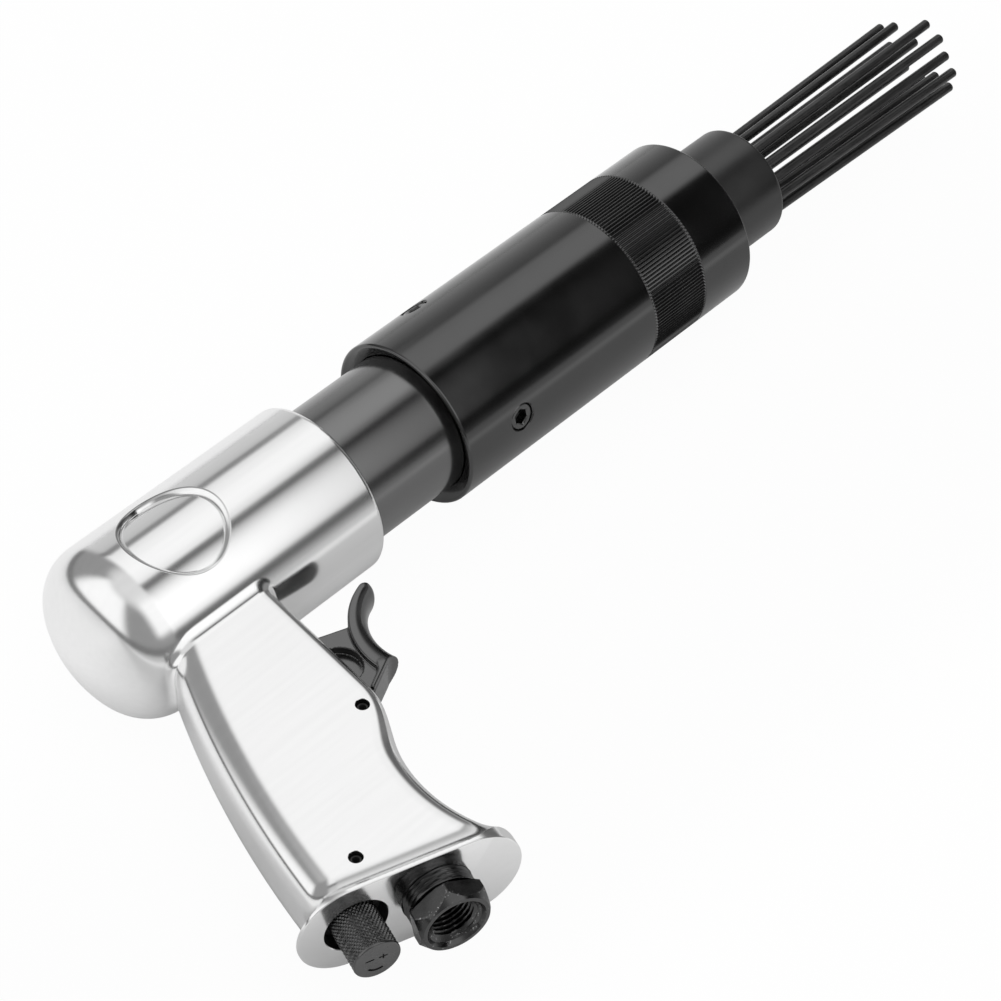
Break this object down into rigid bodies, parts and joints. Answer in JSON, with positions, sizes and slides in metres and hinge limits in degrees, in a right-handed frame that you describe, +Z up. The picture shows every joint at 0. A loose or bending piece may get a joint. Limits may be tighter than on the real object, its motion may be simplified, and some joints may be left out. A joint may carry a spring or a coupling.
{
  "type": "needle scaler",
  "caption": "Pistol-grip air needle scaler: cast housing with trigger, regulator and air inlet, and a steel barrel carrying a knurled sleeve from which a bundle of needles projects.",
  "frame": {"origin": "middle of the tool's box on the surface that it lies on", "axes": "+X along the barrel towards the needle tips, -Y down the grip, +Z up from the surface; the tool lies on its side as pictured"},
  "size_m": [0.3688, 0.1561, 0.0512],
  "materials": {
    "cast_aluminium": "polished casting",
    "barrel_steel": "dark satin",
    "steel": "ground",
    "pin_steel": "satin",
    "spring_steel": "drawn wire",
    "black_oxide": "black oxide",
    "black_sleeve": "satin black",
    "needle_steel": "dark oxide",
    "black_gloss": "gloss black",
    "brass": "turned",
    "rubber": "matte"
  },
  "bodies": {
    "housing_body": {"housing": "cast_aluminium", "barrel": "barrel_steel", "valve_gasket": "rubber", "valve_case": "steel", "port_plate": "steel", "valve_dowel": "steel", "trigger_pin": "pin_steel", "throttle_bush": "brass", "throttle_spring": "spring_steel", "regulator_pin": "pin_steel", "inlet_bush": "black_oxide", "inlet_gasket": "rubber", "inlet_screen": "brass", "rear_sleeve": "black_sleeve", "clamp_screws": "black_oxide", "front_collar": "black_sleeve", "return_spring": "spring_steel"},
    "trigger_body": {"trigger": "black_gloss"},
    "throttle_body": {"throttle_stem": "steel", "throttle_seal": "rubber"},
    "regulator_body": {"regulator_knob": "black_oxide", "regulator_ring": "rubber"},
    "piston_body": {"piston": "steel"},
    "disc_body": {"flutter_disc": "steel"},
    "needle_pack": {"anvil": "steel", "needle_holder": "steel", "needle_01": "needle_steel", "needle_02": "needle_steel", "needle_03": "needle_steel", "needle_04": "needle_steel", "needle_05": "needle_steel", "needle_06": "needle_steel", "needle_07": "needle_steel", "needle_08": "needle_steel", "needle_09": "needle_steel", "needle_10": "needle_steel", "needle_11": "needle_steel", "needle_12": "needle_steel"}
  },
  "joints": [
    {"name": "trigger_pull", "type": "hinge", "parent": "housing_body", "child": "trigger_body", "pos_m": [-0.12654, -0.01667, 0.0256], "axis": [0, 0, 1], "range_deg": [0, 12], "stiffness_Nm_per_rad": 0.4},
    {"name": "throttle_push", "type": "slide", "parent": "housing_body", "child": "throttle_body", "axis": [-0.9461, 0.3239, 0], "range_m": [0, 0.0039], "deforming": ["throttle_spring"]},
    {"name": "regulator_turn", "type": "hinge", "parent": "housing_body", "child": "regulator_body", "pos_m": [-0.1695, -0.05756, 0.0256], "axis": [-0.3239, -0.9461, 0], "range_deg": [-90, 90]},
    {"name": "piston_stroke", "type": "slide", "parent": "housing_body", "child": "piston_body", "axis": [1, 0, 0], "range_m": [0, 0.054]},
    {"name": "disc_flutter", "type": "slide", "parent": "housing_body", "child": "disc_body", "axis": [1, 0, 0], "range_m": [0, 0.0012]},
    {"name": "needle_drive", "type": "slide", "parent": "housing_body", "child": "needle_pack", "axis": [1, 0, 0], "range_m": [0, 0.008], "stiffness_N_per_m": 2500, "deforming": ["return_spring"]}
  ],
  "couplings": [
    {"joint": "throttle_push", "follows": "trigger_pull", "m_per_rad": 0.0185}
  ]
}
